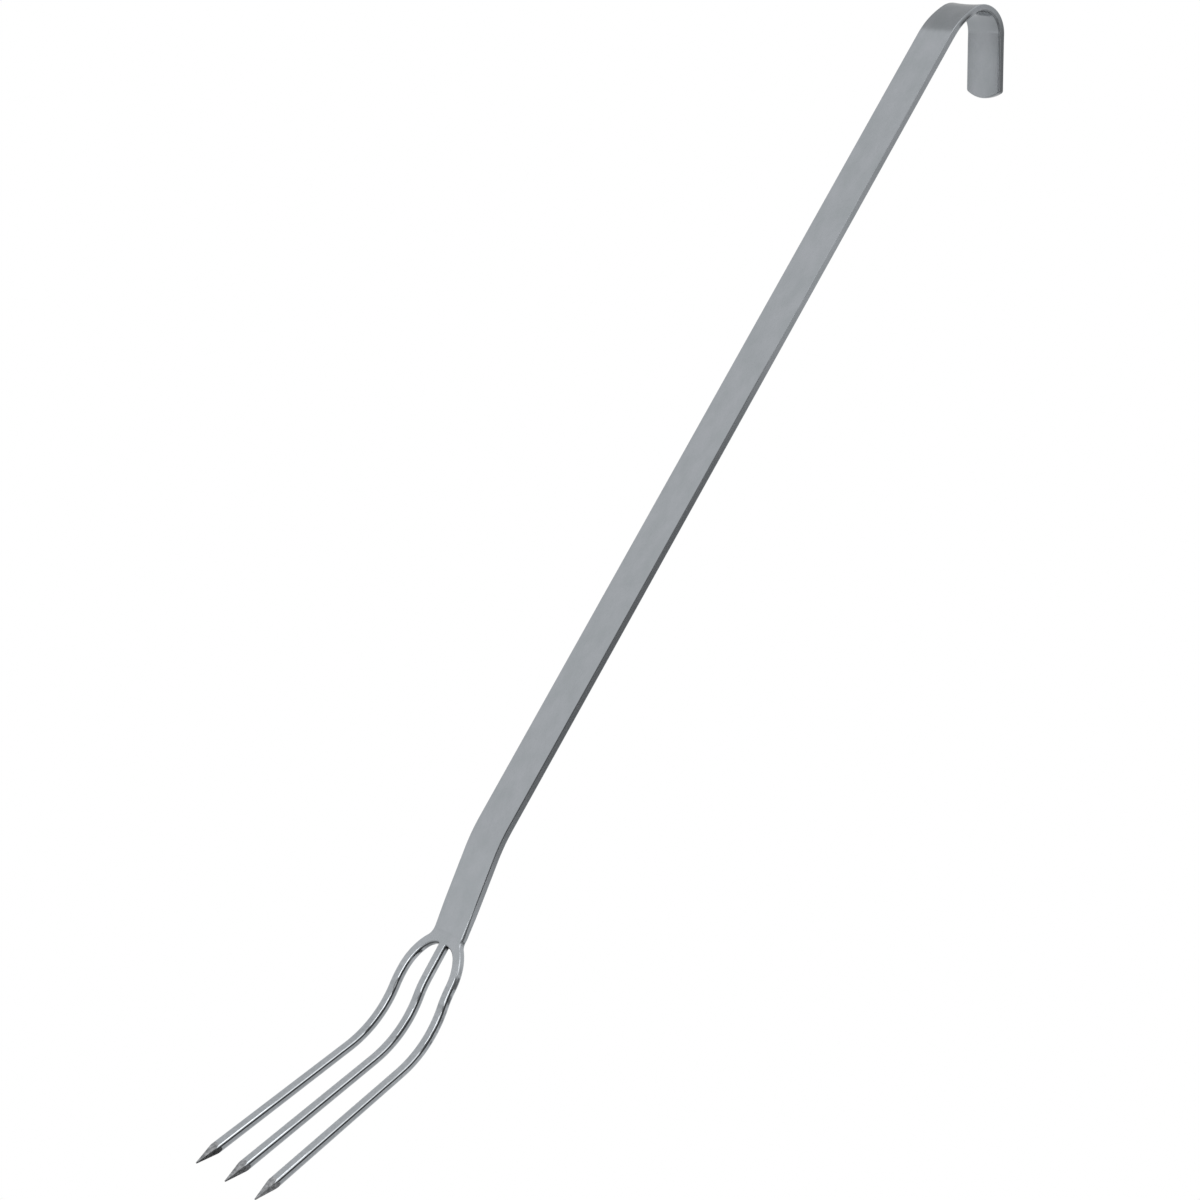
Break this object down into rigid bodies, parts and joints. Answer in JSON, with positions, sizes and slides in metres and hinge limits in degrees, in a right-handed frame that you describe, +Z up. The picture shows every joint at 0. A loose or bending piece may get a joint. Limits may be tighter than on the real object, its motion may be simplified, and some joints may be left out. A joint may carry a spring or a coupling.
{
  "type": "flesh fork",
  "caption": "Flat steel flesh fork with a back-bent hanging hook, a cranked neck and pointed, forward-bent tines for lifting meat out of a pot.",
  "frame": {"origin": "on the axis of the rail that the hook's round seat hangs on, in the fork's middle plane", "axes": "+Z up along the straight bar, +X across the bar's width, -Y out of the front face, towards which the tines bend"},
  "size_m": [0.0472, 0.0759, 0.5985],
  "materials": {
    "steel": "satin"
  },
  "bodies": {
    "root": {"handle_bar": "steel", "hook_lead": "steel", "hook_seat": "steel", "hook_tail": "steel", "neck_crank": "steel", "neck_strip": "steel", "neck_return": "steel", "crown": "steel", "left_tine_root": "steel", "left_tine_bend": "steel", "left_tine_prong": "steel", "middle_tine_root": "steel", "middle_tine_bend": "steel", "middle_tine_prong": "steel", "right_tine_root": "steel", "right_tine_bend": "steel", "right_tine_prong": "steel"}
  },
  "joints": []
}
